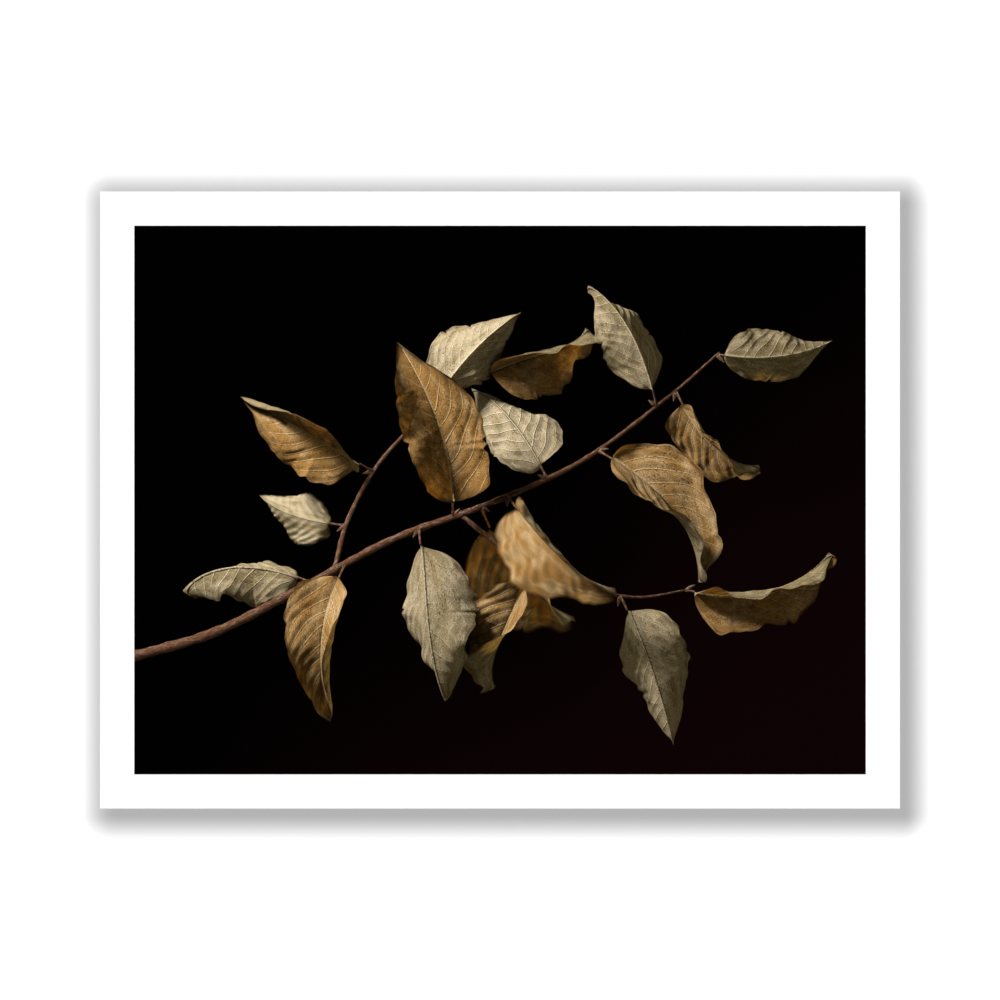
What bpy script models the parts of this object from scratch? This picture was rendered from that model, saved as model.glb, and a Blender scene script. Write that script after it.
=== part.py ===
"""A photographic print mounted on a white composite board, hung clear of the wall on a metal sub-frame.

Metres, +Z up. The picture faces -Y and the wall is on the +Y side. The origin is the middle of the
hanging face: the underside of the top rail's web, which bears on the wall hooks.
"""

import math

import bmesh
import bpy
from mathutils import Matrix

MM = 0.001
INCH = 25.4 * MM

# The picture is a 16 by 12 inch photograph with an even white margin round it.
PICTURE_WIDTH = 16 * INCH
PICTURE_HEIGHT = 12 * INCH
MARGIN = 0.75 * INCH
PAPER_THICKNESS = 0.3 * MM

# The board is a sandwich of two aluminium skins on a plastic core.
BOARD_WIDTH = PICTURE_WIDTH + 2 * MARGIN
BOARD_HEIGHT = PICTURE_HEIGHT + 2 * MARGIN
SKIN_THICKNESS = 0.3 * MM
CORE_THICKNESS = 2.3 * MM
GLUE_LINE = 0.05 * MM

# The sub-frame is four lengths of U channel, open towards the middle, mitred at the corners.
FRAME_INSET = 50 * MM
RAIL_DEPTH = 15 * MM
RAIL_HEIGHT = 12 * MM
RAIL_WALL = 1.5 * MM
RAIL_CORNER_RADIUS = 0.5 * MM
MITRE_GAP = 0.3 * MM
FRAME_WIDTH = BOARD_WIDTH - 2 * FRAME_INSET
FRAME_HEIGHT = BOARD_HEIGHT - 2 * FRAME_INSET

TAPE_THICKNESS = 1.0 * MM
TAPE_WIDTH = 10 * MM

# An L-shaped key joins two rails inside the channel, held by a screw through each rear flange.
KEY_CLEARANCE = 0.3 * MM
KEY_ARM_LENGTH = 34 * MM
KEY_ARM_HEIGHT = 8 * MM
KEY_BEVEL = 0.8 * MM
KEY_SEAT_GAP = 0.05 * MM
SCREW_FROM_CORNER = 24 * MM
SCREW_HOLE_RADIUS = 2.15 * MM
KEY_HOLE_RADIUS = 2.1 * MM
SHANK_RADIUS = 2.0 * MM
SHANK_LENGTH = 8 * MM
SHANK_TIP_RADIUS = 1.6 * MM
SHANK_TIP_LENGTH = 0.6 * MM
HEAD_RADIUS = 3.6 * MM
HEAD_RIM_HEIGHT = 0.6 * MM
HEAD_SHOULDER_RADIUS = 3.3 * MM
HEAD_SHOULDER_HEIGHT = 1.4 * MM
HEAD_CROWN_RADIUS = 2.6 * MM
HEAD_HEIGHT = 2.0 * MM
SOCKET_APOTHEM = 1.25 * MM
SOCKET_DEPTH = 1.2 * MM

BUMPER_RADIUS = 5.5 * MM
BUMPER_THICKNESS = 3.0 * MM
BUMPER_EDGE_RADIUS = 0.8 * MM
BUMPER_EDGE_STEPS = 3
BUMPER_FROM_CORNER = 8 * MM

ROUND_SIDES = 24
BEVEL_STEPS = 2
SHARP_ANGLE = math.radians(35)

# The frame hangs from the origin, and the board's middle lies level with the frame's middle.
FRAME_TOP = RAIL_WALL
FRAME_MIDDLE_Z = FRAME_TOP - FRAME_HEIGHT / 2
RAIL_BACK_Y = RAIL_DEPTH / 2
RAIL_FRONT_Y = -RAIL_DEPTH / 2

# Each layer in front of the rails starts a glue line in front of the one behind it.
TAPE_BACK_Y = RAIL_FRONT_Y - GLUE_LINE
BACK_SKIN_BACK_Y = TAPE_BACK_Y - TAPE_THICKNESS - GLUE_LINE
CORE_BACK_Y = BACK_SKIN_BACK_Y - SKIN_THICKNESS - GLUE_LINE
FRONT_SKIN_BACK_Y = CORE_BACK_Y - CORE_THICKNESS - GLUE_LINE
PAPER_BACK_Y = FRONT_SKIN_BACK_Y - SKIN_THICKNESS - GLUE_LINE

# A corner of the frame: the sign of its X, the sign of its height and its quarter turns about Y.
CORNERS = {
    "top_right": (1, 1, 0),
    "bottom_right": (1, -1, 1),
    "bottom_left": (-1, -1, 2),
    "top_left": (-1, 1, 3),
}


def clear_scene():
    for old in list(bpy.data.objects):
        bpy.data.objects.remove(old, do_unlink=True)


def material(name, colour, roughness, metallic=0.0):
    made = bpy.data.materials.new(name)
    made.use_nodes = True
    shader = made.node_tree.nodes["Principled BSDF"]
    shader.inputs["Base Color"].default_value = (*colour, 1.0)
    shader.inputs["Roughness"].default_value = roughness
    shader.inputs["Metallic"].default_value = metallic
    made.diffuse_color = (*colour, 1.0)
    return made


def add_object(name, mesh, surface, place=None):
    """Links a mesh into the scene as one named sub-part, moved by an optional matrix."""
    mesh.name = name
    if not mesh.materials:
        mesh.materials.append(surface)
    made = bpy.data.objects.new(name, mesh)
    bpy.context.scene.collection.objects.link(made)
    if place is not None:
        made.matrix_world = place
    return made


def mesh_from(shape):
    bmesh.ops.recalc_face_normals(shape, faces=shape.faces)
    mesh = bpy.data.meshes.new("shape")
    shape.to_mesh(mesh)
    shape.free()
    return mesh


def plate(name, width, height, back_y, thickness, surface):
    """A flat layer, centred on the frame's middle, whose back is at back_y."""
    shape = bmesh.new()
    bmesh.ops.create_cube(shape, size=1.0)
    bmesh.ops.scale(shape, vec=(width, thickness, height), verts=shape.verts)
    middle = Matrix.Translation((0, back_y - thickness / 2, FRAME_MIDDLE_Z))
    return add_object(name, mesh_from(shape), surface, middle)


def ring(shape, radius_at, y):
    """A closed loop of points round the Y axis, at the radius that radius_at gives for each angle."""
    angles = [2 * math.pi * k / ROUND_SIDES for k in range(ROUND_SIDES)]
    return [shape.verts.new((radius_at(a) * math.cos(a), y, radius_at(a) * math.sin(a))) for a in angles]


def circle(radius):
    return lambda angle: radius


def hexagon(apothem):
    """The distance from a hexagon's middle to its side, in the direction of an angle."""
    sector = math.pi / 3
    return lambda angle: apothem / math.cos((angle + sector / 2) % sector - sector / 2)


def turned(profile):
    """A closed body from (radius function, y) pairs, from its front end to its back end along +Y."""
    shape = bmesh.new()
    loops = [ring(shape, radius_at, y) for radius_at, y in profile]
    for near, far in zip(loops, loops[1:]):
        for k in range(ROUND_SIDES):
            following = (k + 1) % ROUND_SIDES
            shape.faces.new((near[k], near[following], far[following], far[k]))
    shape.faces.new(loops[0])
    shape.faces.new(loops[-1])
    return mesh_from(shape)


def mesh_cutter(name, mesh, place):
    """A guide that a Boolean subtracts and the build leaves out."""
    cutter = bpy.data.objects.new(name, mesh)
    bpy.context.scene.collection.objects.link(cutter)
    cutter.matrix_world = place
    cutter.hide_render = True
    cutter.display_type = "WIRE"
    return cutter


def drill(target, name, radius, place):
    """Subtracts a round hole along Y at place, long enough to pass through the target."""
    reach = RAIL_DEPTH
    hole = turned([(circle(radius), -reach), (circle(radius), reach)])
    cut = target.modifiers.new(name, "BOOLEAN")
    cut.operation = "DIFFERENCE"
    cut.solver = "EXACT"
    cut.object = mesh_cutter(name, hole, place)
    return cut


def rail_outline():
    """The channel's section as (y, depth from the outer edge) points: two flanges and the web."""
    half = RAIL_DEPTH / 2
    bend = RAIL_CORNER_RADIUS
    inner = half - RAIL_WALL
    return [
        (-half, RAIL_HEIGHT),
        (-half, bend),
        (-half + bend, 0.0),
        (half - bend, 0.0),
        (half, bend),
        (half, RAIL_HEIGHT),
        (inner, RAIL_HEIGHT),
        (inner, RAIL_WALL),
        (-inner, RAIL_WALL),
        (-inner, RAIL_HEIGHT),
    ]


def mitred_channel(length):
    """A channel along X, its web on top at Z 0 and its ends cut back at 45 degrees."""
    shape = bmesh.new()
    ends = []
    for side in (-1, 1):
        cut_back = length / 2 - MITRE_GAP / 2
        ends.append([shape.verts.new((side * (cut_back - d), y, -d)) for y, d in rail_outline()])
    count = len(ends[0])
    for k in range(count):
        following = (k + 1) % count
        shape.faces.new((ends[0][k], ends[0][following], ends[1][following], ends[1][k]))
    shape.faces.new(ends[0])
    shape.faces.new(ends[1])
    return mesh_from(shape)


def side_place(turn, reach):
    """Where a side of the frame lies: turned about Y, with its outer edge at reach from the middle."""
    middle = Matrix.Translation((0, 0, FRAME_MIDDLE_Z))
    return middle @ Matrix.Rotation(math.radians(turn), 4, "Y") @ Matrix.Translation((0, 0, reach))


def frame_sides():
    """Each side's name, its length, its turn about Y and its distance from the middle."""
    return [
        ("top", FRAME_WIDTH, 0, FRAME_HEIGHT / 2),
        ("right", FRAME_HEIGHT, 90, FRAME_WIDTH / 2),
        ("bottom", FRAME_WIDTH, 180, FRAME_HEIGHT / 2),
        ("left", FRAME_HEIGHT, 270, FRAME_WIDTH / 2),
    ]


def screw_places(length):
    """The two screws of one rail, in the rail's own frame, on the middle of the key inside it."""
    depth = RAIL_WALL + KEY_SEAT_GAP + KEY_ARM_HEIGHT / 2
    return [(side * (length / 2 - SCREW_FROM_CORNER), 0.0, -depth) for side in (-1, 1)]


def add_rails(surface):
    for name, length, turn, reach in frame_sides():
        place = side_place(turn, reach)
        rail = add_object(f"rail_{name}", mitred_channel(length), surface, place)
        for number, spot in enumerate(screw_places(length), start=1):
            behind = Matrix.Translation((spot[0], RAIL_DEPTH + RAIL_WALL, spot[2]))
            drill(rail, f"rail_{name}_hole_{number}", SCREW_HOLE_RADIUS, place @ behind)


def key_mesh():
    """An L in the XZ plane with its outer corner at the origin and its arms along -X and -Z."""
    long, high = KEY_ARM_LENGTH, KEY_ARM_HEIGHT
    outline = [(0, 0), (-long, 0), (-long, -high), (-high, -high), (-high, -long), (0, -long)]
    half = RAIL_DEPTH / 2 - RAIL_WALL - KEY_CLEARANCE
    shape = bmesh.new()
    face = shape.faces.new([shape.verts.new((x, -half, z)) for x, z in outline])
    grown = bmesh.ops.extrude_face_region(shape, geom=[face])
    moved = [v for v in grown["geom"] if isinstance(v, bmesh.types.BMVert)]
    bmesh.ops.translate(shape, vec=(0, 2 * half, 0), verts=moved)
    bmesh.ops.recalc_face_normals(shape, faces=shape.faces)
    upright = [e for e in shape.edges if abs(e.verts[0].co.y - e.verts[1].co.y) > half]
    bmesh.ops.bevel(
        shape, geom=upright, offset=KEY_BEVEL, segments=BEVEL_STEPS, profile=0.5, affect="EDGES"
    )
    return mesh_from(shape)


def add_keys(surface):
    inset = RAIL_WALL + KEY_SEAT_GAP
    screw_depth = KEY_ARM_HEIGHT / 2
    screw_reach = SCREW_FROM_CORNER - inset
    for name, (right, up, quarter_turns) in CORNERS.items():
        corner = (right * (FRAME_WIDTH / 2 - inset), 0, FRAME_MIDDLE_Z + up * (FRAME_HEIGHT / 2 - inset))
        place = Matrix.Translation(corner) @ Matrix.Rotation(quarter_turns * math.pi / 2, 4, "Y")
        key = add_object(f"corner_key_{name}", key_mesh(), surface, place)
        for number, spot in enumerate([(-screw_reach, -screw_depth), (-screw_depth, -screw_reach)], start=1):
            hole = place @ Matrix.Translation((spot[0], 0, spot[1]))
            drill(key, f"key_{name}_hole_{number}", KEY_HOLE_RADIUS, hole)


def screw_mesh():
    """A button-head screw on the Y axis, the underside of its head at Y 0 and its shank along -Y."""
    return turned(
        [
            (circle(SHANK_TIP_RADIUS), -SHANK_LENGTH),
            (circle(SHANK_RADIUS), SHANK_TIP_LENGTH - SHANK_LENGTH),
            (circle(SHANK_RADIUS), 0.0),
            (circle(HEAD_RADIUS), 0.0),
            (circle(HEAD_RADIUS), HEAD_RIM_HEIGHT),
            (circle(HEAD_SHOULDER_RADIUS), HEAD_SHOULDER_HEIGHT),
            (circle(HEAD_CROWN_RADIUS), HEAD_HEIGHT),
            (hexagon(SOCKET_APOTHEM), HEAD_HEIGHT),
            (hexagon(SOCKET_APOTHEM), HEAD_HEIGHT - SOCKET_DEPTH),
        ]
    )


def add_screws(surface):
    shared = screw_mesh()
    shared.materials.append(surface)
    for name, length, turn, reach in frame_sides():
        for number, spot in enumerate(screw_places(length), start=1):
            seat = Matrix.Translation((spot[0], RAIL_BACK_Y + KEY_SEAT_GAP, spot[2]))
            place = side_place(turn, reach) @ seat
            screw = bpy.data.objects.new(f"key_screw_{name}_{number}", shared)
            bpy.context.scene.collection.objects.link(screw)
            screw.matrix_world = place


def add_tapes(surface):
    """Foam tape on each front flange. The upright strips stop short of the level ones."""
    depth = RAIL_HEIGHT / 2
    for name, length, turn, reach in frame_sides():
        level = name in ("top", "bottom")
        end_gap = RAIL_HEIGHT / 2 - TAPE_WIDTH / 2 if level else RAIL_HEIGHT + MITRE_GAP
        shape = bmesh.new()
        bmesh.ops.create_cube(shape, size=1.0)
        size = (length - 2 * end_gap, TAPE_THICKNESS, TAPE_WIDTH)
        bmesh.ops.scale(shape, vec=size, verts=shape.verts)
        centre = Matrix.Translation((0, TAPE_BACK_Y - TAPE_THICKNESS / 2, -depth))
        add_object(f"tape_{name}", mesh_from(shape), surface, side_place(turn, reach) @ centre)


def bumper_mesh():
    """A soft disc on the Y axis, its stuck face at Y 0 and its rounded wall face towards +Y."""
    edge = BUMPER_EDGE_RADIUS
    arc = [math.pi / 2 * k / BUMPER_EDGE_STEPS for k in range(BUMPER_EDGE_STEPS + 1)]
    rounded = [
        (
            circle(BUMPER_RADIUS - edge * (1 - math.cos(a))),
            BUMPER_THICKNESS - edge * (1 - math.sin(a)),
        )
        for a in arc
    ]
    return turned([(circle(BUMPER_RADIUS), 0.0)] + rounded)


def add_bumpers(surface):
    shared = bumper_mesh()
    shared.materials.append(surface)
    for name, (right, up, _) in CORNERS.items():
        x = right * (FRAME_WIDTH / 2 - BUMPER_FROM_CORNER)
        z = FRAME_MIDDLE_Z + up * (FRAME_HEIGHT / 2 - BUMPER_FROM_CORNER)
        bumper = bpy.data.objects.new(f"wall_bumper_{name}", shared)
        bpy.context.scene.collection.objects.link(bumper)
        bumper.location = (x, RAIL_BACK_Y + GLUE_LINE, z)


def add_board_and_print():
    white = material("white_lacquer", (0.93, 0.93, 0.92), 0.35)
    black_core = material("black_polyethylene", (0.02, 0.02, 0.022), 0.6)
    mill = material("mill_aluminium", (0.72, 0.73, 0.74), 0.42, 1.0)
    picture = material("photo_paper", (0.012, 0.008, 0.008), 0.45)
    size = (BOARD_WIDTH, BOARD_HEIGHT)
    plate("board_back_skin", *size, BACK_SKIN_BACK_Y, SKIN_THICKNESS, mill)
    plate("board_core", *size, CORE_BACK_Y, CORE_THICKNESS, black_core)
    plate("board_front_skin", *size, FRONT_SKIN_BACK_Y, SKIN_THICKNESS, white)
    plate("photo_print", PICTURE_WIDTH, PICTURE_HEIGHT, PAPER_BACK_Y, PAPER_THICKNESS, picture)


def smooth_round_pieces():
    """Shades the round pieces smooth, with their corners kept sharp."""
    done = set()
    for made in bpy.data.objects:
        if made.name.startswith(("key_screw", "wall_bumper")) and made.data.name not in done:
            done.add(made.data.name)
            made.data.shade_smooth()
            made.data.set_sharp_from_angle(angle=SHARP_ANGLE)


clear_scene()
add_board_and_print()
add_rails(material("anodised_aluminium", (0.66, 0.67, 0.68), 0.35, 1.0))
add_keys(material("cast_zinc", (0.45, 0.46, 0.47), 0.5, 1.0))
add_screws(material("plated_steel", (0.62, 0.62, 0.6), 0.3, 1.0))
add_tapes(material("foam_tape", (0.85, 0.85, 0.83), 0.8))
add_bumpers(material("grey_felt", (0.16, 0.16, 0.165), 0.95))
smooth_round_pieces()
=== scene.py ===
"""A photographic print on a white composite board, hung clear of a wall on its channel sub-frame.

Blender 4.5, metres, +Z up. The picture faces -Y and the wall is on the +Y side.
"""

import math
import random

import bpy
import numpy as np
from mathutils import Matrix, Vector
from mathutils.bvhtree import BVHTree


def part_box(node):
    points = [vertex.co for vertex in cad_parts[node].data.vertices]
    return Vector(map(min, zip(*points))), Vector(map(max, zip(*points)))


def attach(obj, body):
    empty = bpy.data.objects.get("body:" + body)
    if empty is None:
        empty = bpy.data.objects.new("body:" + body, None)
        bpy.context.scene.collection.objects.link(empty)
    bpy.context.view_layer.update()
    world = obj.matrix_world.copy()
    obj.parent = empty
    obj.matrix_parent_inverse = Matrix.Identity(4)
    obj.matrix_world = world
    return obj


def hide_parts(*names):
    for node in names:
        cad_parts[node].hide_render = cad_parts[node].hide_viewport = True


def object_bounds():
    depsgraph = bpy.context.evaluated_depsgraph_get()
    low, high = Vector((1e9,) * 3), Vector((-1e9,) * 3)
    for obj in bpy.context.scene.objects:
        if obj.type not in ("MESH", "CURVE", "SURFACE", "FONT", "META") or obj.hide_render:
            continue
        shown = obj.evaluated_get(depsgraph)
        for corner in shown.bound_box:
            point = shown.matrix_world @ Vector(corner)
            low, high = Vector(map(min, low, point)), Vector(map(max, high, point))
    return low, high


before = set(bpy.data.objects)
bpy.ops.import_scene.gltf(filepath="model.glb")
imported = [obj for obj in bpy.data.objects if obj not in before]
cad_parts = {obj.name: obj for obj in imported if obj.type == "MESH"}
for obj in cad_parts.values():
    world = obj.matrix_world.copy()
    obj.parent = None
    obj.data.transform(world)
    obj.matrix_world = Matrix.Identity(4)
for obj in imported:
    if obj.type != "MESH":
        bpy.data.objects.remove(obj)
cad_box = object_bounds()
MM = 0.001

# White front skin
# The board is a sheet of aluminium composite, cut to size with the picture's margin left bare.
# Its face is factory lacquered in satin white, rolled on, so it has a faint even orange peel.

SHARP_ANGLE = math.radians(30)
FLAT_ANGLE = math.radians(1)
MERGE_DISTANCE = 0.002 * MM


class Wire:
    """An output of a material's node, on which sums, products and further nodes are built."""

    def __init__(self, tree, socket=None):
        self.tree = tree
        self.socket = socket

    def node(self, kind, settings, inputs, output=0):
        """Adds a node, makes its settings, then fills its inputs with numbers, colours or wires."""
        made = self.tree.nodes.new("ShaderNode" + kind)
        for key, value in settings.items():
            setattr(made, key, value)
        for key, value in inputs.items():
            if isinstance(value, Wire):
                self.tree.links.new(value.socket, made.inputs[key])
            else:
                made.inputs[key].default_value = value
        return Wire(self.tree, made.outputs[output])

    def math(self, operation, *values):
        return self.node("Math", {"operation": operation}, dict(enumerate(values)))

    def __add__(self, other):
        return self.math("ADD", self, other)

    def __sub__(self, other):
        return self.math("SUBTRACT", self, other)

    def __rsub__(self, other):
        return self.math("SUBTRACT", other, self)

    def __mul__(self, other):
        return self.math("MULTIPLY", self, other)

    def __truediv__(self, other):
        return self.math("DIVIDE", self, other)

    def step(self, low, high):
        """Rises smoothly from 0 at low to 1 at high."""
        ends = {"Value": self, "From Min": low, "From Max": high}
        return self.node("MapRange", {"interpolation_type": "SMOOTHSTEP"}, ends)

    def mix(self, first, second):
        """The first colour where this wire is 0 and the second where it is 1."""
        settings = {"data_type": "RGBA", "blend_type": "MIX"}
        return self.node("Mix", settings, {0: self, 6: first, 7: second}, 2)

    def scaled(self, x, y, z):
        return self.node("VectorMath", {"operation": "MULTIPLY"}, {0: self, 1: (x, y, z)})

    def noise(self, scale, detail=2.0, roughness=0.5):
        values = {"Vector": self, "Scale": scale, "Detail": detail, "Roughness": roughness}
        return self.node("TexNoise", {}, values)


def finish(name, base, roughness, metallic=0.0, specular=0.5):
    """A new material, with its shader and a wire for points in the frame, in metres."""
    made = bpy.data.materials.new(name)
    made.use_nodes = True
    shader = made.node_tree.nodes["Principled BSDF"]
    shader.inputs["Base Color"].default_value = (*base, 1.0)
    shader.inputs["Roughness"].default_value = roughness
    shader.inputs["Metallic"].default_value = metallic
    shader.inputs["Specular IOR Level"].default_value = specular
    start = Wire(made.node_tree)
    return made, shader, start.node("TexCoord", {}, {}, "Object")


def feed(shader, **wires):
    """Links wires to the shader's inputs, whose spaces are written as underscores."""
    for name, wire in wires.items():
        wire.tree.links.new(wire.socket, shader.inputs[name.replace("_", " ")])


def feed_bump(shader, height, depth):
    """Raises the surface by a wire from 0 to 1 that stands for depth, in metres."""
    feed(shader, Normal=height.node("Bump", {}, {"Height": height, "Distance": depth}, "Normal"))


def rgb(red, green, blue):
    """A colour as shown on a screen, from 0 to 255, as the linear values that materials take."""

    def linear(value):
        share = value / 255
        return share / 12.92 if share <= 0.04045 else ((share + 0.055) / 1.055) ** 2.4

    return (linear(red), linear(green), linear(blue))


def only(piece):
    """Selects one object and makes it active, with everything else deselected."""
    bpy.ops.object.select_all(action="DESELECT")
    piece.select_set(True)
    bpy.context.view_layer.objects.active = piece


def dressed(node, name, material, edge, steps=2):
    """A copy of a CAD node with merged points, eased edges and a finish, which stands for the node."""
    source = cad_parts[node]
    piece = bpy.data.objects.new(name, source.data.copy())
    bpy.context.scene.collection.objects.link(piece)
    piece.data.materials.clear()
    piece.data.materials.append(material)
    only(piece)
    bpy.ops.object.mode_set(mode="EDIT")
    bpy.ops.mesh.select_all(action="SELECT")
    bpy.ops.mesh.remove_doubles(threshold=MERGE_DISTANCE)
    bpy.ops.mesh.dissolve_limited(angle_limit=FLAT_ANGLE)
    bpy.ops.object.mode_set(mode="OBJECT")
    ease = piece.modifiers.new("ease", "BEVEL")
    ease.width = edge
    ease.segments = steps
    ease.limit_method = "ANGLE"
    ease.angle_limit = SHARP_ANGLE
    ease.use_clamp_overlap = True
    bpy.ops.object.modifier_apply(modifier=ease.name)
    bpy.ops.object.shade_smooth_by_angle(angle=SHARP_ANGLE)
    flats = piece.modifiers.new("flats", "WEIGHTED_NORMAL")
    flats.mode = "FACE_AREA"
    flats.weight = 100
    flats.keep_sharp = True
    bpy.ops.object.modifier_apply(modifier=flats.name)
    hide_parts(node)
    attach(piece, "root")
    return piece


LACQUER_WHITE = (0.93, 0.93, 0.925)
CUT_EDGE_EASE = 0.06 * MM
ORANGE_PEEL_SIZE = 900
ORANGE_PEEL_DEPTH = 0.004 * MM

lacquer, shader, place = finish("satin_white_lacquer", LACQUER_WHITE, 0.32)
peel = place.noise(ORANGE_PEEL_SIZE, 3.0)
handling = place.noise(14, 4.0)
feed(shader, Roughness=handling.step(0.3, 0.75) * 0.1 + 0.28)
feed_bump(shader, peel, ORANGE_PEEL_DEPTH)
dressed("board_front_skin", "white_front_skin", lacquer, CUT_EDGE_EASE)

# Board core
# The middle of the sandwich is solid black polyethylene. It only shows at the board's four cut
# edges, where the panel saw leaves fine upright tooth marks and a slightly dull, furry surface.

core_black, shader, place = finish("sawn_black_polyethylene", (0.022, 0.022, 0.024), 0.62)
saw_marks = place.scaled(1, 0.08, 1).noise(2600, 2.0)
smears = place.noise(220, 3.0)
feed(shader, Base_Color=smears.step(0.45, 0.7).mix((0.016, 0.016, 0.018, 1), (0.05, 0.05, 0.052, 1)))
feed(shader, Roughness=saw_marks * 0.3 + 0.45)
feed_bump(shader, saw_marks, 0.05 * MM)
dressed("board_core", "black_core", core_black, 0.04 * MM, 1)

# Back skin
# The sheet's rear skin is left as mill-finish aluminium. It carries the straight lines of the
# rolling mill along its length, and the fine rubs that sliding over a bench leaves.

mill, shader, place = finish("mill_aluminium", (0.74, 0.75, 0.76), 0.4, 1.0)
rolling = place.scaled(0.012, 1, 1).noise(1500, 4.0, 0.7)
broad = place.scaled(0.05, 1, 1).noise(60, 3.0)
rubs = place.scaled(1, 1, 0.05).noise(260, 2.0).step(0.65, 0.76)
slides = place.scaled(0.07, 1, 0.8).noise(190, 2.0).step(0.66, 0.78)
scuffs = rubs * 0.35 + slides * 0.5
tone = (rolling * 0.6 + broad * 0.5).step(0.3, 0.8).mix((0.6, 0.61, 0.625, 1), (0.72, 0.73, 0.74, 1))
feed(shader, Base_Color=scuffs.mix(tone, (0.8, 0.805, 0.81, 1)))
feed(shader, Roughness=rolling * 0.2 + broad * 0.08 + 0.26 + scuffs * 0.15)
feed_bump(shader, rolling, 0.01 * MM)
dressed("board_back_skin", "mill_back_skin", mill, CUT_EDGE_EASE)

# Photographic print
# A sheet of lustre photographic paper, trimmed flush to the picture and bonded to the white face.
# Its printed ground runs from full black at the top left to a warm near-black at the lower right.

GROUND_DARK = rgb(0, 0, 0)
GROUND_WARM = rgb(11, 2, 3)
PAPER_BASE = (0.9, 0.9, 0.885)
LUSTRE_SIZE = 1500
LUSTRE_DEPTH = 0.006 * MM
LUSTRE_ROUGHNESS = 0.34
PRINTED_SKIN = 0.03 * MM


def parts(wire):
    """The three components of a vector wire."""
    first = wire.node("SeparateXYZ", {}, {0: wire}, 0)
    return [Wire(wire.tree, first.socket.node.outputs[k]) for k in range(3)]


paper_low, paper_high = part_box("photo_print")
paper_width = paper_high.x - paper_low.x
paper_height = paper_high.z - paper_low.z
picture_centre_z = (paper_low.z + paper_high.z) / 2


def lustre(shader, place):
    """The fine pebble of lustre paper, the same over the ground and the printed leaves."""
    pebble = place.noise(LUSTRE_SIZE, 1.0)
    feed_bump(shader, pebble, LUSTRE_DEPTH)


paper, shader, place = finish("lustre_photo_paper", GROUND_DARK, LUSTRE_ROUGHNESS)
across, toward, upward = parts(place)
diagonal = across / paper_width - (upward - picture_centre_z) / paper_height
diagonal = diagonal + place.noise(6, 3.0) * 0.5 - 0.25
ground = diagonal.step(-0.1, 0.8).mix((*GROUND_DARK, 1), (*GROUND_WARM, 1))
cut_side = toward.step(paper_low.y + PRINTED_SKIN, paper_low.y + 2 * PRINTED_SKIN)
feed(shader, Base_Color=cut_side.mix(ground, (*PAPER_BASE, 1)))
lustre(shader, place)
dressed("photo_print", "photo_sheet", paper, 0.02 * MM, 1)

# Printed branch and leaves
# A dry branch of plain oval leaves, printed in ink. Each blade is worked out in the round and lit by
# one lamp at the upper left, then pressed flat on the paper with its light and shade as its ink.

INK_LIFT = 0.02 * MM
INK_RELIEF = 0.25 * MM

# The blades and their lamp are in millimetres: right, up and towards the viewer from the middle.
DEEPEST, NEAREST = -120.0, 120.0
LAMP_PLACE = np.array([-510.0, 540.0, 375.0])
LAMP_RADIUS = 112.0
LAMP_FULL_AT = 760.0
LAMP_COLOUR = np.array([1.0, 0.93, 0.82])
LAMP_STRENGTH = 1.31
FILL_COLOUR = np.array([1.0, 0.86, 0.54])
FILL_STRENGTH = 0.085
GLOW_COLOUR = np.array([1.0, 0.62, 0.16])
GLOW_STRENGTH = 0.55
SHADOW_RAYS = 9
SKY_RAYS = 10
SKY_REACH = 60.0
RAY_START = 0.6
GOLDEN_ANGLE = 2.39996
FULL_TURN = 6.28
BLADE_ROWS, BLADE_COLUMNS = 181, 81
COARSE_ROWS = 61
BLOCKER_COLUMNS, LIT_COLUMNS = 27, 31
CREASE_COUNT = 6
STALK_ROWS, BUD_ROWS, STALK_SIDES = 24, 20, 7
BUD_LENGTH = 6.0
VEIN_PAIRS_PITCH = 0.108
VEIN_LEAN = 0.95
VEIN_CURVE = 1.1
VEIN_STAGGER = 0.35

draw = random.Random(4117)
leaves = []
stems = []


def unit(vectors):
    """The vectors at length 1."""
    length = np.linalg.norm(vectors, axis=-1, keepdims=True)
    return vectors / np.maximum(length, 1e-9)


def turned(vector, axis, angle):
    """The vector turned about a unit axis by an angle in radians."""
    along = np.dot(axis, vector) * axis
    return along + (vector - along) * math.cos(angle) + np.cross(axis, vector) * math.sin(angle)


def smooth_path(points, count):
    """Evenly read points of a smooth curve that passes through the given ones."""
    points = np.array(points, float)
    padded = np.vstack([2 * points[0] - points[1], points, 2 * points[-1] - points[-2]])
    spots = np.linspace(0, len(points) - 1 - 1e-9, count)
    leg = spots.astype(int)
    u = (spots - leg)[:, None]
    a, b, c, d = (padded[leg + k] for k in range(4))
    return 0.5 * (2 * b + (c - a) * u + (2 * a - 5 * b + 4 * c - d) * u**2 + (3 * b - a - 3 * c + d) * u**3)


def normals_of(grid):
    """Unit normals of a grid of points, which face the viewer where the blade's upper side does."""
    along = np.gradient(grid, axis=0)
    over = np.gradient(grid, axis=1)
    return unit(np.cross(over, along))


def outline_side(s, width):
    """Half the blade's width along one side: an oval with a drawn-out tip and a worn, wavy margin."""
    shape = s**0.58 * (1 - s) ** 0.95
    shape = shape / shape.max() * width / 2
    scallop = np.cos(2 * math.pi * s / VEIN_PAIRS_PITCH + draw.uniform(0, FULL_TURN)) * 0.018
    drift = np.sin(s * draw.uniform(5, 9) + draw.uniform(0, FULL_TURN)) * 0.05
    shape = shape * (1 + scallop + drift)
    for _ in range(draw.randint(1, 3)):
        spot, size, depth = draw.uniform(0.25, 0.95), draw.uniform(0.008, 0.022), draw.uniform(0.03, 0.13)
        shape = shape * (1 - depth * np.exp(-(((s - spot) / size) ** 2)))
    return shape


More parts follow.
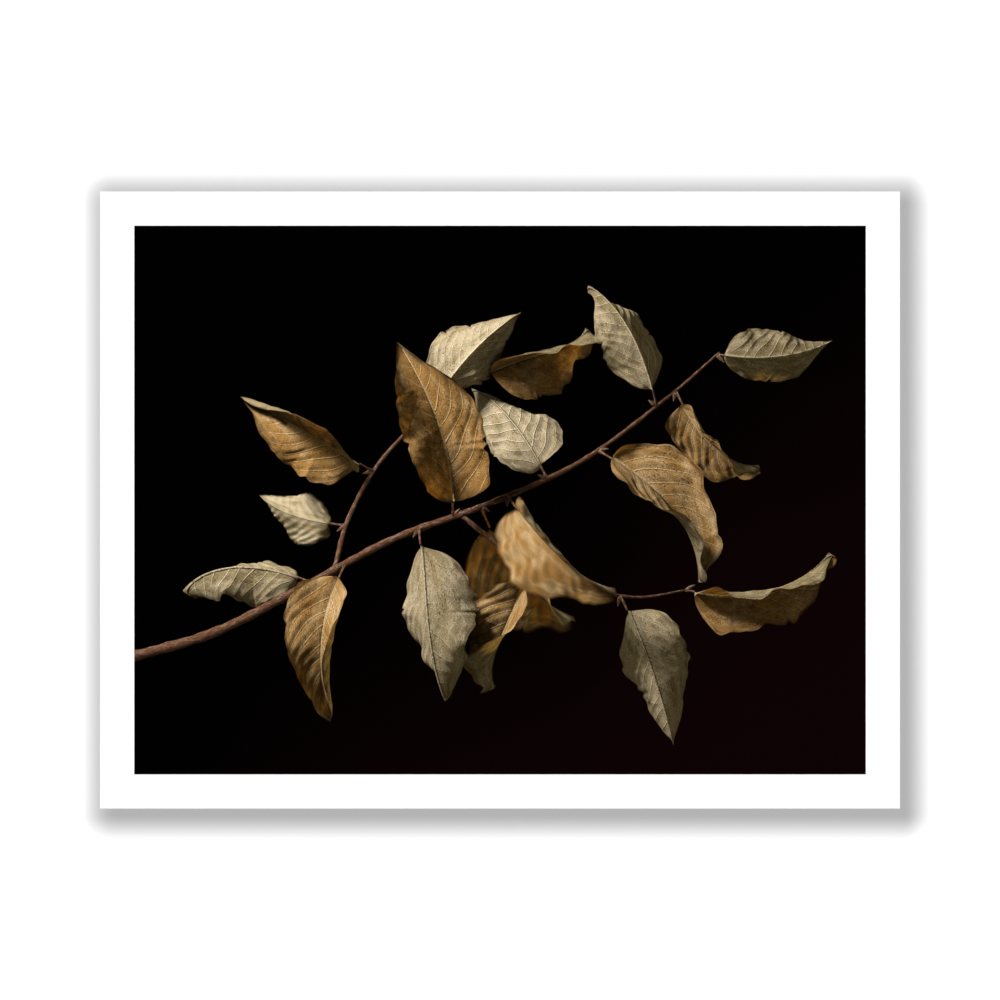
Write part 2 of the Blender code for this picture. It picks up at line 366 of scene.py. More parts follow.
def creases(x, y, depth):
    """Sharp-crested folds that cross a dried blade at random, in millimetres."""
    height = 0.0
    for _ in range(CREASE_COUNT):
        turn, pitch, start = draw.uniform(0, math.pi), draw.uniform(0.16, 0.5), draw.uniform(0, math.pi)
        run = (x * math.cos(turn) + y * math.sin(turn)) / pitch
        height = height + pitch * np.abs(np.sin(math.pi * run + start)) ** 0.8
    return height * depth


def blade(root, angle, lean, roll, length, width, bow=0.0, sweep=0.0, twist=0.0, fold=0.25,
          curl=(0.5, 0.5), wave=2.5, crease=3.0, pleat=0.5, tone=0.5, soft=0.0):
    """One leaf: its midrib starts at root and heads at angle in the picture's plane.

    Lean tips it towards the viewer and roll turns it about its midrib. Bow bends the midrib to the
    upper side, sweep bends it in its own plane and twist turns it along its length. Soft is how
    far out of focus its outline is, in millimetres.
    """
    s = np.linspace(0, 1, BLADE_ROWS)
    t = np.linspace(-1, 1, BLADE_COLUMNS)
    a, l = math.radians(angle), math.radians(lean)
    heading = np.array([math.cos(a) * math.cos(l), math.sin(a) * math.cos(l), math.sin(l)])
    up = unit(np.array([0, 0, 1.0]) - heading[2] * heading)
    up = turned(up, heading, math.radians(roll))
    spine, sides, ups = [np.array(root, float)], [], []
    gap = 1 / (BLADE_ROWS - 1)
    for k in range(BLADE_ROWS):
        side = np.cross(heading, up)
        sides.append(side)
        ups.append(up)
        if k:
            spine.append(spine[-1] + heading * length * gap)
        bend = bow * gap * (0.3 + 1.4 * s[k] ** 1.3)
        heading = turned(heading, side, bend)
        up = turned(up, side, bend)
        heading = turned(heading, up, sweep * gap)
        up = turned(up, heading, twist * gap)
    spine, sides, ups = np.array(spine), np.array(sides), np.array(ups)
    left, right = outline_side(s, width), outline_side(s, width)
    half = np.where(t[None, :] < 0, left[:, None], right[:, None])
    half = np.maximum(half, 0.25) + soft / 2
    reach = np.abs(t)[None, :] + 0 * s[:, None]
    hand = np.sign(t)[None, :]
    turn = np.where(t < 0, curl[0], curl[1])[None, :] * (0.4 + 0.9 * s[:, None])
    turn = turn * (1 + 0.35 * np.sin(7 * s + draw.uniform(0, FULL_TURN)))[:, None]
    turn = np.where(np.abs(turn) < 1e-3, 1e-3, turn)
    out = half * (np.sin(fold + turn * reach) - math.sin(fold)) / turn
    rise = half * (math.cos(fold) - np.cos(fold + turn * reach)) / turn
    x = s[:, None] + 0.014 * np.sin(s[:, None] * draw.uniform(16, 24) + hand * 1.7) + 0 * reach
    y = half * t[None, :] / length
    phase = (x - VEIN_LEAN * np.abs(y) - VEIN_CURVE * y**2) / VEIN_PAIRS_PITCH + VEIN_STAGGER * (hand > 0)
    inside = (s * (1 - s) * 4)[:, None] ** 0.4
    rise = rise + pleat * np.cos(2 * math.pi * phase) * reach**0.6 * (1 - reach**6) * inside
    start = draw.uniform(0, FULL_TURN)
    rise = rise + wave * reach**2 * np.sin(2 * math.pi * (2.3 * s[:, None] + 0.17 * hand) + start)
    rise = rise + 0.5 * wave * reach**3 * np.sin(2 * math.pi * (5.1 * s[:, None]) + 2.0 * start + hand)
    rise = rise + creases(x, y, crease) * reach**0.5
    grid = spine[:, None, :] + sides[:, None, :] * (out * hand)[..., None]
    grid = grid + ups[:, None, :] * rise[..., None]
    cover = None
    if soft:
        cover = np.ones_like(reach)
        middle_column = BLADE_COLUMNS // 2
        for columns, margin in ((slice(middle_column + 1), 0), (slice(middle_column, None), -1)):
            away = np.linalg.norm((grid[:, columns] - grid[:, [margin]])[..., :2], axis=-1)
            cover[:, columns] = np.minimum(cover[:, columns], away / soft)
        tip = np.minimum(s, 1 - s)[:, None] * length / soft
        cover = np.clip(np.minimum(cover, tip), 0, 1)
        cover = cover * cover * (3 - 2 * cover)
    flat = np.stack([x, y, reach], axis=-1)
    leaves.append({"grid": grid, "flat": flat, "tone": tone, "cover": cover})


def stalk(points, radii, count, sides=9):
    """The viewer's half of a round stem through the points, as an open sheet."""
    path = smooth_path(points, count)
    radius = np.interp(np.linspace(0, 1, count), np.linspace(0, 1, len(radii)), radii)
    along = unit(np.gradient(path, axis=0))
    over = unit(np.cross(along, np.array([0, 0, 1.0])))
    toward = np.cross(over, along)
    start = draw.uniform(0, FULL_TURN)
    knots = 1 + 0.12 * np.sin(np.arange(count) * 0.55 + start) * np.sin(np.arange(count) * 0.23)
    t = np.linspace(-1, 1, sides)
    angle = t * math.pi / 2
    swell = (radius * knots)[:, None, None]
    grid = path[:, None, :] + swell * (
        over[:, None, :] * np.sin(angle)[None, :, None] + toward[:, None, :] * np.cos(angle)[None, :, None]
    )
    run = np.concatenate([[0], np.cumsum(np.linalg.norm(np.diff(path, axis=0), axis=1))])
    reach = np.abs(t)[None, :] + 0 * run[:, None]
    flat = np.stack([run[:, None] + 0 * t[None, :], radius[:, None] * angle[None, :], reach], axis=-1)
    stems.append({"grid": grid, "flat": flat, "tone": 0.5})
    return path


# The branch is a main stem with one side stem below it and one above.
main_stem = stalk(
    [(-208, -88, -30), (-160, -74, -20), (-112, -50, -8), (-60, -22, 4),
     (-6, -2, 10), (46, 22, 6), (92, 56, -4), (122, 82, -6)],
    [2.9, 2.6, 2.3, 2.0, 1.7, 1.35, 1.0, 0.6],
    300,
)
lower_stem = stalk(
    [(-22, -8, 8), (6, -30, 20), (38, -46, 26), (74, -54, 22), (104, -50, 16)],
    [1.5, 1.3, 1.1, 0.85, 0.5],
    160,
)
upper_stem = stalk(
    [(-92, -39, -4), (-84, -10, -16), (-66, 22, -26), (-38, 50, -30), (-10, 70, -28)],
    [1.5, 1.3, 1.1, 0.85, 0.5],
    150,
)


def hang(stem, share, angle, reach=9.0, lift=3.0, **shape):
    """A leaf on a short stalk that leaves a stem at a share of its length, over a small bud."""
    spot = stem[int(share * (len(stem) - 1))]
    a = math.radians(angle)
    heading = np.array([math.cos(a), math.sin(a), 0.0])
    joint = spot + heading * reach * 0.5 + np.array([0, 0, lift * 0.6])
    root = spot + heading * reach + np.array([0, 0, lift])
    stalk([tuple(spot), tuple(joint), tuple(root)], [1.0, 0.65, 0.6], STALK_ROWS, STALK_SIDES)
    bud_angle = a + draw.choice((-0.7, 0.7))
    bud_heading = np.array([math.cos(bud_angle), math.sin(bud_angle), 0.3])
    bud = [tuple(spot + bud_heading * share_out * BUD_LENGTH) for share_out in (0.0, 0.3, 0.65, 1.0)]
    stalk(bud, [0.8, 1.35, 1.0, 0.12], BUD_ROWS, STALK_SIDES)
    blade(tuple(root), angle, **shape)


hang(main_stem, 0.31, 160, lean=-10, roll=205, length=72, width=38,
     bow=1.2, sweep=-0.5, twist=0.5, curl=(0.9, 1.4), tone=0.5, lift=-6)
hang(main_stem, 0.36, -114, lean=14, roll=35, length=82, width=44,
     bow=-1.3, sweep=0.5, twist=-0.6, curl=(1.7, 0.9), tone=0.35, lift=8)
hang(upper_stem, 0.45, 150, lean=20, roll=-40, length=78, width=40,
     bow=-1.5, sweep=0.4, twist=0.8, curl=(1.0, 2.0), tone=0.25, lift=6)
hang(upper_stem, 0.75, 60, lean=30, roll=190, length=70, width=42,
     bow=1.0, sweep=0.5, twist=-0.4, curl=(0.8, 1.0), tone=0.7, lift=6)
hang(upper_stem, 0.995, 22, lean=-20, roll=30, length=86, width=44,
     bow=-1.0, sweep=-0.6, twist=0.7, curl=(1.2, 0.8), tone=0.3, lift=2, reach=5)
hang(main_stem, 0.47, -84, lean=26, roll=-158, length=92, width=54,
     bow=1.0, sweep=0.3, twist=0.4, curl=(0.7, 1.2), tone=0.6, lift=14)
hang(main_stem, 0.52, 92, lean=18, roll=24, length=96, width=56,
     bow=-0.9, sweep=0.5, twist=-0.5, curl=(0.8, 1.2), tone=0.2, lift=10)
hang(main_stem, 0.60, -52, lean=44, roll=28, length=80, width=46,
     bow=-1.6, sweep=-0.3, twist=0.5, curl=(1.2, 0.9), tone=0.4, lift=26, soft=3.5)
hang(main_stem, 0.66, 118, lean=-24, roll=168, length=76, width=44,
     bow=0.8, sweep=-0.4, twist=0.4, curl=(1.0, 0.6), tone=0.75, lift=-10)
hang(main_stem, 0.74, -30, lean=6, roll=-28, length=88, width=48,
     bow=-1.1, sweep=-0.5, twist=-0.6, curl=(1.4, 0.8), tone=0.45, lift=8)
hang(main_stem, 0.84, 104, lean=16, roll=196, length=72, width=38,
     bow=1.1, sweep=-0.3, twist=0.5, curl=(0.7, 1.2), tone=0.55, lift=5)
hang(main_stem, 0.995, -8, lean=-12, roll=-165, length=70, width=38,
     bow=0.9, sweep=-0.5, twist=-0.5, curl=(0.9, 1.1), tone=0.5, lift=2, reach=5)
hang(lower_stem, 0.35, -112, lean=-8, roll=22, length=76, width=40,
     bow=-1.2, sweep=-0.4, twist=0.7, curl=(1.8, 0.8), tone=0.4, lift=4)
hang(lower_stem, 0.70, -64, lean=22, roll=-156, length=84, width=48,
     bow=1.1, sweep=0.5, twist=-0.3, curl=(0.7, 1.1), tone=0.65, lift=10)
hang(lower_stem, 0.995, -10, lean=-6, roll=34, length=82, width=42,
     bow=-1.0, sweep=0.6, twist=0.6, curl=(1.0, 1.5), tone=0.3, lift=2, reach=5)
hang(main_stem, 0.56, -66, lean=-34, roll=18, length=90, width=50,
     bow=-0.6, sweep=0.4, twist=0.3, curl=(0.9, 0.9), tone=0.3, lift=-46, reach=12, soft=4.5)
hang(upper_stem, 0.22, 172, lean=-16, roll=-160, length=54, width=30,
     bow=0.9, sweep=0.5, twist=-0.5, curl=(0.8, 1.1), tone=0.6, lift=-12, soft=2.5)
hang(main_stem, 0.88, -62, lean=12, roll=24, length=58, width=30,
     bow=-1.5, sweep=0.3, twist=0.5, curl=(1.2, 0.8), tone=0.35, lift=4)


def thinned(count, most):
    """Evenly spaced indices, with both ends, for reading a fine grid coarsely."""
    return np.unique(np.linspace(0, count - 1, min(count, most)).round().astype(int))


def blocker_tree():
    """A tree of every blade and stem, coarsely read, that shadows are cast against."""
    points, faces = [], []
    for made in leaves + stems:
        grid = made["grid"]
        rows, columns = thinned(grid.shape[0], COARSE_ROWS), thinned(grid.shape[1], BLOCKER_COLUMNS)
        coarse = grid[np.ix_(rows, columns)]
        first = len(points)
        points.extend(coarse.reshape(-1, 3).tolist())
        wide = coarse.shape[1]
        for i in range(coarse.shape[0] - 1):
            for j in range(wide - 1):
                corner = first + i * wide + j
                faces.append((corner, corner + 1, corner + wide + 1, corner + wide))
    return BVHTree.FromPolygons(points, faces)


def spiral(count):
    """Even places in a disc of radius 1, from its middle outwards."""
    radii = [math.sqrt((k + 0.5) / count) for k in range(count)]
    return [(r * math.cos(k * GOLDEN_ANGLE), r * math.sin(k * GOLDEN_ANGLE)) for k, r in enumerate(radii)]


def lamp_spots():
    """Places spread over the round lamp, as it faces the picture's middle."""
    facing = Vector(LAMP_PLACE).to_track_quat("Z", "Y")
    return [Vector(LAMP_PLACE) + facing @ Vector((x, y, 0)) * LAMP_RADIUS for x, y in spiral(SHADOW_RAYS)]


def lit(tree, grid, normals):
    """The light on each point of a surface, as colours, read coarsely where shadows need rays."""
    rows, columns = thinned(grid.shape[0], COARSE_ROWS), thinned(grid.shape[1], LIT_COLUMNS)
    spots = lamp_spots()
    sky_rays = [Vector((x, y, math.sqrt(max(0.0, 1 - x * x - y * y)))) for x, y in spiral(SKY_RAYS)]
    shade = np.zeros((len(rows), len(columns)))
    sky = np.zeros_like(shade)
    to_lamp = LAMP_PLACE - grid
    distance = np.linalg.norm(to_lamp, axis=-1)
    facing = np.sum(normals * to_lamp, axis=-1) / distance
    for i, row in enumerate(rows):
        for j, column in enumerate(columns):
            normal = Vector(normals[row, column])
            point = Vector(grid[row, column])
            start = point + normal * (RAY_START if facing[row, column] > 0 else -RAY_START)
            clear = sum(tree.ray_cast(start, spot - start)[0] is None for spot in spots)
            shade[i, j] = clear / len(spots)
            turn = normal.to_track_quat("Z", "Y")
            start = point + normal * RAY_START
            clear = sum(tree.ray_cast(start, turn @ ray, SKY_REACH)[0] is None for ray in sky_rays)
            sky[i, j] = clear / len(sky_rays)
    all_rows, all_columns = np.arange(grid.shape[0]), np.arange(grid.shape[1])

    def spread(values):
        wide = np.array([np.interp(all_columns, columns, line) for line in values])
        return np.array([np.interp(all_rows, rows, line) for line in wide.T]).T

    shade, sky = spread(shade), spread(sky)
    strength = shade * (LAMP_FULL_AT / distance) ** 2
    front = np.clip(facing, 0, None) * strength
    through = np.clip(-facing, 0, None) * strength
    colour = front[..., None] * LAMP_COLOUR * LAMP_STRENGTH
    colour = colour + through[..., None] * GLOW_COLOUR * GLOW_STRENGTH
    return colour + (sky**1.3 * FILL_STRENGTH)[..., None] * FILL_COLOUR


def press(tree, name, sheets, material):
    """Lays sheets flat on the paper as one mesh, with their light, their own coordinates and rake."""
    points, faces, first = [], [], 0
    values = {"blade": [], "rake": [], "light": [], "cover": []}
    for made in sheets:
        grid = made["grid"]
        upper = normals_of(grid)
        facing = upper[..., 2]
        light = lit(tree, grid, np.where(facing[..., None] < 0, -1.0, 1.0) * upper)
        to_lamp = unit(LAMP_PLACE - grid)
        along = np.sum(unit(np.gradient(grid, axis=0)) * to_lamp, axis=-1)
        over = np.sum(unit(np.gradient(grid, axis=1)) * to_lamp, axis=-1)
        limit_x, limit_z = paper_width / 2 / MM, paper_height / 2 / MM
        x = np.clip(grid[..., 0], -limit_x, limit_x) * MM
        z = np.clip(grid[..., 1], -limit_z, limit_z) * MM + picture_centre_z
        depth = (grid[..., 2] - DEEPEST) / (NEAREST - DEEPEST)
        y = paper_low.y - INK_LIFT - np.clip(depth, 0, 1) * INK_RELIEF
        flat = np.stack([x, y, z], axis=-1).reshape(-1, 3)
        i, j = np.meshgrid(np.arange(grid.shape[0] - 1), np.arange(grid.shape[1] - 1), indexing="ij")
        corner = (i * grid.shape[1] + j).ravel()
        quads = np.stack([corner, corner + 1, corner + grid.shape[1] + 1, corner + grid.shape[1]], axis=1)
        a, b, c, d = (flat[quads[:, k]] for k in range(4))
        turning = np.cross(c - a, d - b)[:, 1]
        quads[turning > 0] = quads[turning > 0][:, ::-1]
        points.append(flat)
        faces.append(quads + first)
        first += len(flat)
        values["blade"].append(made["flat"])
        values["rake"].append(np.stack([along, over, np.clip(facing * 6 + 0.5, 0, 1)], axis=-1))
        tones = np.full(light.shape[:2] + (1,), made["tone"])
        values["light"].append(np.concatenate([light, tones], axis=-1))
        if made.get("cover") is not None:
            values["cover"].append(made["cover"])
    mesh = bpy.data.meshes.new(name)
    mesh.from_pydata(np.concatenate(points).tolist(), [], np.concatenate(faces).tolist())
    mesh.materials.append(material)
    kinds = {"light": ("FLOAT_COLOR", "color"), "cover": ("FLOAT", "value")}
    for attribute_name, sheets_of_values in values.items():
        if sheets_of_values:
            kind, field = kinds.get(attribute_name, ("FLOAT_VECTOR", "vector"))
            flat = np.concatenate([part.reshape(-1) for part in sheets_of_values]).astype(np.float32)
            mesh.attributes.new(attribute_name, kind, "POINT").data.foreach_set(field, flat)
    mesh.polygons.foreach_set("use_smooth", [True] * len(mesh.polygons))
    mesh.normals_split_custom_set_from_vertices([(0.0, -1.0, 0.0)] * len(mesh.vertices))
    mesh.update()
    piece = bpy.data.objects.new(name, mesh)
    bpy.context.scene.collection.objects.link(piece)
    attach(piece, "root")
    return piece


TAN = rgb(218, 188, 144)
AMBER = rgb(172, 132, 78)
BROWN = rgb(62, 38, 18)
BEIGE = rgb(202, 189, 163)
OLIVE = rgb(152, 139, 106)
VEIN_PALE = rgb(220, 210, 182)
BARK_RED = rgb(104, 68, 50)
BARK_GREY = rgb(140, 128, 118)
RAKE_STEP = 0.006
RAKE_DEPTH = -2.2


def ink(shader, place, albedo, relief, light):
    """Printed colour: what the leaf is made of, in the light that fell on it."""
    shaded = light.node("VectorMath", {"operation": "MULTIPLY"}, {0: albedo, 1: light})
    lift = relief + 1.0
    strength = lift.math("MAXIMUM", lift, 0.0)
    colour = light.node("VectorMath", {"operation": "SCALE"}, {0: shaded, "Scale": strength})
    feed(shader, Base_Color=colour)
    lustre(shader, place)


def attribute(wire, name, output="Vector"):
    """A value stored at the points of a printed sheet."""
    return wire.node("Attribute", {"attribute_name": name}, {}, output)


def vein_ridge(x, y, reach):
    """Height of the midrib and the side veins over the blade, from 0 to 1."""
    away = y.math("ABSOLUTE", y)
    hand = y.math("GREATER_THAN", y, 0.0)
    phase = (x - away * VEIN_LEAN - away * away * VEIN_CURVE) * (1 / VEIN_PAIRS_PITCH) + hand * VEIN_STAGGER
    off = phase.math("FRACT", phase) - 0.5
    off = off.math("ABSOLUTE", off) * VEIN_PAIRS_PITCH
    side_width = (1 - reach) * 0.0035 + 0.0028
    side = 1 - (off / side_width).step(0.25, 1.0)
    side = side * x.step(0.03, 0.08) * (1 - x.step(0.88, 0.95)) * (1 - reach.step(0.8, 1.0))
    mid_width = (1 - x) * 0.009 + 0.003
    mid = 1 - (away / mid_width).step(0.3, 1.0)
    return mid.math("MAXIMUM", mid, side * 0.75)


def blade_height(point):
    """The small relief of a blade at a point of its own flat coordinates."""
    x, y, reach = parts(point)
    crumple = point.noise(26, 6.0, 0.66)
    values = {"Vector": point, "Scale": 62}
    net = point.node("TexVoronoi", {"feature": "DISTANCE_TO_EDGE"}, values, "Distance")
    return vein_ridge(x, y, reach) * 0.55 + crumple * 1.15 + net.step(0.0, 0.3) * -0.3


def leaf_finish(name, crisp):
    """The ink of a leaf, with its veins, spots and small relief as sharp as crisp, from 0 to 1."""
    made, shader, place = finish(name, TAN, LUSTRE_ROUGHNESS)
    point = attribute(place, "blade")
    x, y, reach = parts(point)
    rake_x, rake_y, upper = parts(attribute(place, "rake"))
    tone = attribute(place, "light", "Alpha")
    lean_in = place.node("CombineXYZ", {}, {0: rake_x * RAKE_STEP, 1: rake_y * RAKE_STEP, 2: 0.0})
    shifted = point.node("VectorMath", {"operation": "ADD"}, {0: point, 1: lean_in})
    relief = (blade_height(shifted) - blade_height(point)) * (RAKE_DEPTH * crisp)
    own_place = tone.node("CombineXYZ", {}, {0: tone * 9, 1: tone * 5, 2: tone * 3})
    seeded = point.node("VectorMath", {"operation": "ADD"}, {0: point, 1: own_place})
    patches = seeded.noise(4.5, 1.0 + 4.0 * crisp, 0.62)
    freckles = seeded.noise(52, 1.0, 0.6).step(0.6, 0.635) * seeded.noise(6, 2.0).step(0.42, 0.6)
    stains = seeded.noise(15, 3.0, 0.6).step(0.63, 0.7)
    veins = vein_ridge(x, y, reach) * (crisp * 0.8 + 0.2)
    top = (patches + tone * 0.4 - 0.2).step(0.32, 0.68).mix((*AMBER, 1), (*TAN, 1))
    top = (seeded.noise(9, 4.0, 0.6).step(0.56, 0.74) * 0.6).mix(top, (*OLIVE, 1))
    top = (veins * 0.4).mix(top, (*VEIN_PALE, 1))
    under = (patches + tone * 0.5 - 0.25).step(0.35, 0.7).mix((*OLIVE, 1), (*BEIGE, 1))
    under = (seeded.noise(7, 4.0).step(0.58, 0.78) * 0.55).mix(under, (*TAN, 1))
    under = (veins * 0.6).mix(under, (*VEIN_PALE, 1))
    leaf = upper.mix(under, top)
    margin = reach.step(0.82, 1.0) * seeded.noise(12, 3.0).step(0.35, 0.65)
    leaf = (margin * (0.7 * crisp)).mix(leaf, (*BROWN, 1))
    leaf = (stains * 0.35).mix(leaf, (*AMBER, 1))
    leaf = ((freckles * crisp + x.step(0.9, 1.0) * 0.6) * 0.85).mix(leaf, (*BROWN, 1))
    ink(shader, place, leaf, relief, attribute(place, "light", "Color"))
    return made, shader, place


leaf_ink = leaf_finish("printed_leaf", 1.0)[0]
soft_ink, shader, place = leaf_finish("printed_soft_leaf", 0.15)
feed(shader, Alpha=attribute(place, "cover", "Fac"))

bark_ink, shader, place = finish("printed_bark", BARK_RED, LUSTRE_ROUGHNESS)
point = attribute(place, "blade")
light = attribute(place, "light", "Color")
grain = point.scaled(0.22, 1.0, 1.0).noise(1.3, 4.0, 0.65)
spots = point.scaled(1.0, 1.6, 1.0).noise(0.8, 1.0).step(0.66, 0.72)
bark = grain.step(0.46, 0.72).mix((*BARK_RED, 1), (*BARK_GREY, 1))
bark = (spots * 0.7).mix(bark, (*BEIGE, 1))
ink(shader, place, bark, grain - 0.5, light)

shadow_tree = blocker_tree()
press(shadow_tree, "picture_stems", stems, bark_ink)
for number, made in enumerate(leaves, start=1):
    finish_used = leaf_ink if made["cover"] is None else soft_ink
    press(shadow_tree, f"picture_leaf_{number:02d}", [made], finish_used)

# Channel sub-frame
# Four lengths of extruded aluminium channel, mitred and screwed to keys in their corners. They are
# satin anodised after cutting, and keep the die's straight lines along their length.


def anodised(name, along):
    """Anodised aluminium whose die lines run along X or Z."""
    made, shader, place = finish(name, (0.66, 0.67, 0.685), 0.34, 1.0)
    stretch = (0.01, 1, 1) if along == "X" else (1, 1, 0.01)
    die_lines = place.scaled(*stretch).noise(2200, 3.0, 0.7)
    bloom = place.noise(40, 4.0)
    feed(shader, Base_Color=bloom.step(0.3, 0.7).mix((0.6, 0.61, 0.63, 1), (0.71, 0.72, 0.73, 1)))
    feed(shader, Roughness=die_lines * 0.24 + 0.22)
    feed_bump(shader, die_lines, 0.012 * MM)
    return made


level_rail = anodised("anodised_level", "X")
upright_rail = anodised("anodised_upright", "Z")
rails = {"top": level_rail, "right": upright_rail, "bottom": level_rail, "left": upright_rail}
for side, metal in rails.items():
    dressed(f"rail_{side}", f"channel_{side}", metal, 0.15 * MM)

# Corner keys and screws
# Each key is a die-cast zinc angle that slides into both channels. Two button-head screws of
# bright zinc-plated steel pass through each rail's rear flange and draw the key against it.

zinc, shader, place = finish("cast_zinc", (0.42, 0.43, 0.44), 0.5, 1.0)
tumbled = place.noise(520, 4.0, 0.6)
feed(shader, Base_Color=tumbled.step(0.35, 0.7).mix((0.34, 0.35, 0.36, 1), (0.52, 0.53, 0.54, 1)))
feed(shader, Roughness=tumbled * 0.3 + 0.36)
feed_bump(shader, tumbled, 0.05 * MM)

plated, shader, place = finish("bright_plated_steel", (0.7, 0.7, 0.68), 0.24, 1.0)
wear = place.noise(700, 3.0)
feed(shader, Base_Color=wear.step(0.4, 0.7).mix((0.62, 0.63, 0.62, 1), (0.78, 0.77, 0.73, 1)))
feed(shader, Roughness=wear * 0.24 + 0.14)
feed_bump(shader, wear, 0.01 * MM)

for node in sorted(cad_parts):
    if node.startswith("corner_key"):
        dressed(node, node.replace("corner_key", "zinc_key"), zinc, 0.25 * MM)
    elif node.startswith("key_screw"):
        dressed(node, node.replace("key_screw", "button_screw"), plated, 0.12 * MM)

# Foam tape
# Strips of white acrylic foam tape stick the sub-frame to the board. Their cut sides show the
# foam's fine closed cells.

foam, shader, place = finish("acrylic_foam", (0.86, 0.86, 0.84), 0.8)
cells = place.node("TexVoronoi", {}, {"Vector": place, "Scale": 3200}, "Distance")
feed(shader, Base_Color=cells.step(0.0, 0.6).mix((0.74, 0.74, 0.72, 1), (0.9, 0.9, 0.88, 1)))
feed_bump(shader, cells, 0.08 * MM)
for side in ("top", "right", "bottom", "left"):
    dressed(f"tape_{side}", f"foam_tape_{side}", foam, 0.12 * MM)

# Wall bumpers
# Pressed wool felt discs on the frame's rear corners keep the print level and off the wall.
# Their cut sides and faces are slightly hairy and flecked.

felt, shader, place = finish("grey_felt", (0.06, 0.06, 0.062), 0.95, specular=0.1)
fibres = place.noise(3800, 5.0, 0.75)
flecks = place.noise(1500, 2.0)
mottle = (flecks + fibres * 0.6).step(0.55, 1.0)
feed(shader, Base_Color=mottle.mix((0.022, 0.022, 0.024, 1), (0.13, 0.13, 0.134, 1)))
feed_bump(shader, fibres, 0.25 * MM)
for corner in ("top_left", "top_right", "bottom_left", "bottom_right"):
    dressed(f"wall_bumper_{corner}", f"felt_bumper_{corner}", felt, 0.1 * MM)

# Wall, floor and lights
# The print hangs before a plain pale wall, in one soft, even light from the upper left. Cards and a
# tent that the camera doesn't see keep stray light off the shadow and shape what the metal reflects.

WALL_Y = cad_box[1].y + 0.3 * MM
WALL_WIDTH, WALL_HEIGHT = 9.0, 6.0
FLOOR_Z = -1.3
CAMERA_LENS = 150.0
SENSOR = 36.0
FRAME_SHARE = 0.8
WALL_GLOW = 0.453
WALL_WHITE = 0.79
KEY_SLANT = 0.187
KEY_SOFTNESS = 0.6
KEY_STRENGTH = 4.05
SKY_STRENGTH = 0.76
SHADE_RIM = 13 * MM
GAP_CARD_CLEAR = 0.02 * MM
FLOOR_SIZE = 30.0
FLOOR_PAINT = (0.88, 0.88, 0.87)
BLACK = (0.0, 0.0, 0.0)
UPRIGHT = (math.radians(90), 0, 0)
DARK_CARD_SIZE, DARK_CARD_Y = (40, 30), -6.0
REAR_CARD_SIZE, REAR_CARD_Y = (14, 9), 4.5
REAR_CARD_FADE = 2.5
REAR_CARD_LOW, REAR_CARD_HIGH = (0.1, 0.1, 0.1, 1), (0.75, 0.75, 0.75, 1)
TENT_MARGIN = 0.2
TENT_DEPTH = 0.5
CAMERA_REACH = 100.0
SOFT_LAMPS = {
    "left_lamp": {"location": (-2.4, 1.1, 0.6), "size": 1.5, "power": 4.5},
    "rear_lamp": {"location": (1.6, 2.4, 1.3), "size": 1.8, "power": 9.0},
    "rear_left_lamp": {"location": (-2.0, 2.0, 0.4), "size": 1.0, "power": 3.0},
}

board_low, board_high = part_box("board_front_skin")
board_width = board_high.x - board_low.x
board_height = board_high.z - board_low.z
middle = Vector((0.0, board_low.y, (board_low.z + board_high.z) / 2))


def stage_plane(name, size, location, rotation, material):
    """A flat stage object of a width and a depth, with its material."""
    bpy.ops.mesh.primitive_plane_add(size=1.0, location=location, rotation=rotation)
    made = bpy.context.object
    made.name = name
    made.scale = (size[0], size[1], 1.0)
    made.data.materials.append(material)
    return made


# The wall shows only from the room, so that the back of the print can be looked at.
pale, shader = finish("pale_wall", (WALL_WHITE,) * 3, 0.9, specular=0.0)[:2]
shader.inputs["Emission Color"].default_value = (1, 1, 1, 1)
shader.inputs["Emission Strength"].default_value = WALL_GLOW
tree = pale.node_tree
see_through = tree.nodes.new("ShaderNodeBsdfTransparent")
from_room = tree.nodes.new("ShaderNodeMixShader")
facing = tree.nodes.new("ShaderNodeNewGeometry")
tree.links.new(facing.outputs["Backfacing"], from_room.inputs[0])
tree.links.new(shader.outputs[0], from_room.inputs[1])
tree.links.new(see_through.outputs[0], from_room.inputs[2])
tree.links.new(from_room.outputs[0], tree.nodes["Material Output"].inputs["Surface"])
wall_place = (0, WALL_Y, FLOOR_Z + WALL_HEIGHT / 2)
wall = stage_plane("wall", (WALL_WIDTH, WALL_HEIGHT), wall_place, UPRIGHT, pale)
wall.visible_shadow = False
wall.visible_diffuse = False
wall.visible_glossy = False

floor_paint = finish("pale_floor", FLOOR_PAINT, 0.8)[0]
floor = stage_plane("floor", (FLOOR_SIZE, FLOOR_SIZE), (0, 0, FLOOR_Z), (0, 0, 0), floor_paint)
floor.visible_glossy = False
floor.visible_shadow = False

dark_card = finish("dark_card", BLACK, 1.0, specular=0.0)[0]
card = stage_plane("dark_card", DARK_CARD_SIZE, (0, DARK_CARD_Y, middle.z), UPRIGHT, dark_card)
card.visible_camera = False
card.visible_diffuse = False
card.visible_shadow = False

